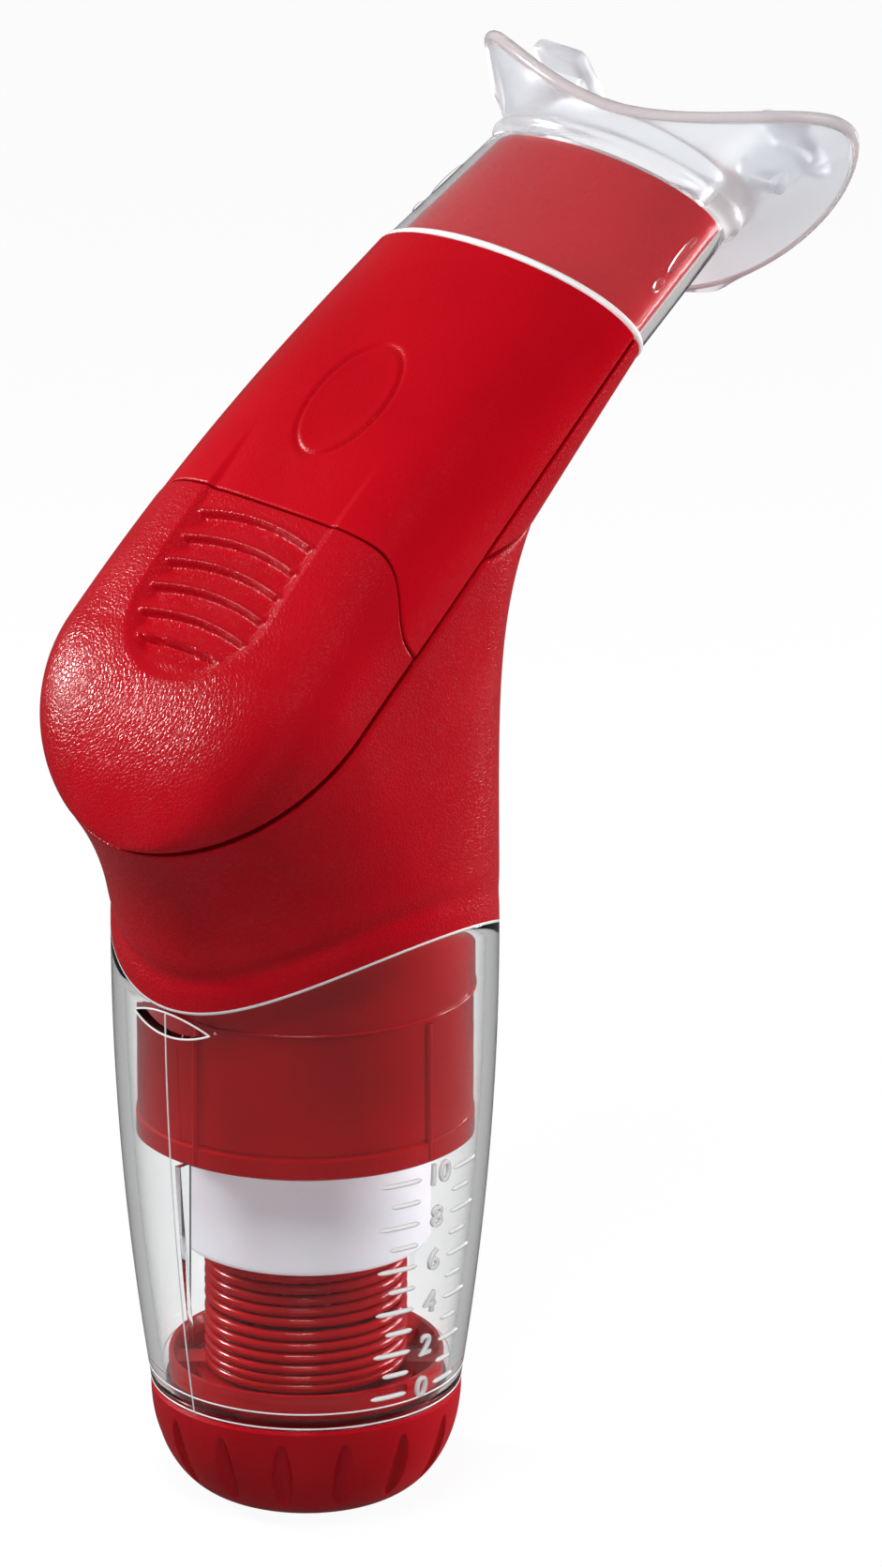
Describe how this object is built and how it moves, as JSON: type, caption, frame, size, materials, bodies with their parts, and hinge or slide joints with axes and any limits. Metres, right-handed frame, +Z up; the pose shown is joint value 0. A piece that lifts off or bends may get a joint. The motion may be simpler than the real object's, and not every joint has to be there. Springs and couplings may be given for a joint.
{
  "type": "breathing trainer",
  "caption": "Hand-held breathing trainer: leaning handle, clear graduated barrel, sprung inhale valve, spindle-driven load nut, turning knob and silicone mouthpiece.",
  "frame": {"origin": "middle of the flat foot of the knob, on the barrel's axis", "axes": "+Z up the barrel's axis, +X the way the handle leans towards the mouth, +Y across the handle, away from the scale"},
  "size_m": [0.0998, 0.0588, 0.1677],
  "materials": {
    "red_satin": "satin moulded plastic with a fine grain",
    "red_smooth": "smooth satin-gloss moulded plastic",
    "red_clear": "glossy translucent red moulded plastic",
    "clear": "clear moulded plastic",
    "silicone": "clear silicone rubber",
    "milk": "milky white moulded plastic",
    "spring_red": "red coated spring wire",
    "steel": "turned steel",
    "seal": "black rubber"
  },
  "bodies": {
    "housing": {"main_body": "red_satin", "face_cover": "red_smooth", "mouth_port": "red_smooth", "clear_barrel": "clear", "inner_tube": "red_clear", "tube_seal": "seal", "spring_sleeve": "milk", "stem_guide": "milk", "spring_washer": "steel", "valve_seat": "milk", "exhale_seat": "milk", "exhale_pin": "steel", "load_spring": "spring_red"},
    "grip": {"grip_cover": "red_satin"},
    "mouth": {"mouthpiece": "silicone"},
    "knob": {"knob": "red_smooth", "thrust_washer": "milk", "knob_clip": "steel"},
    "inhale_valve": {"poppet": "milk", "poppet_seal": "seal"},
    "spindle": {"spindle": "steel", "spindle_clip": "steel"},
    "load_nut": {"load_nut": "red_smooth"},
    "exhale_valve": {"exhale_flap": "seal"}
  },
  "joints": [
    {"name": "knob_turn", "type": "hinge", "parent": "housing", "child": "knob", "pos_m": [0, 0, 0], "axis": [0, 0, 1], "range_deg": [0, 1800]},
    {"name": "valve_lift", "type": "slide", "parent": "housing", "child": "inhale_valve", "axis": [0, 0, 1], "range_m": [0, 0.003], "stiffness_N_per_m": 300, "springref_m": -0.002, "deforming": ["load_spring"]},
    {"name": "spindle_turn", "type": "hinge", "parent": "inhale_valve", "child": "spindle", "pos_m": [0, 0, 0], "axis": [0, 0, 1], "range_deg": [0, 1800]},
    {"name": "load_slide", "type": "slide", "parent": "inhale_valve", "child": "load_nut", "axis": [0, 0, 1], "range_m": [0, 0.0288], "deforming": ["load_spring"]},
    {"name": "grip_slide", "type": "slide", "parent": "housing", "child": "grip", "axis": [-0.7771, 0, -0.6293], "range_m": [0, 0.045]},
    {"name": "mouth_pull", "type": "slide", "parent": "housing", "child": "mouth", "axis": [0.866, 0, 0.5], "range_m": [0, 0.028]},
    {"name": "flap_swing", "type": "hinge", "parent": "housing", "child": "exhale_valve", "pos_m": [-0.00699, 0, 0.11397], "axis": [0, 1, 0], "range_deg": [0, 18], "stiffness_Nm_per_rad": 0.002, "springref_deg": -11.46}
  ],
  "couplings": [
    {"joint": "spindle_turn", "follows": "knob_turn", "ratio": 1},
    {"joint": "load_slide", "follows": "knob_turn", "m_per_rad": 0.00091673}
  ]
}
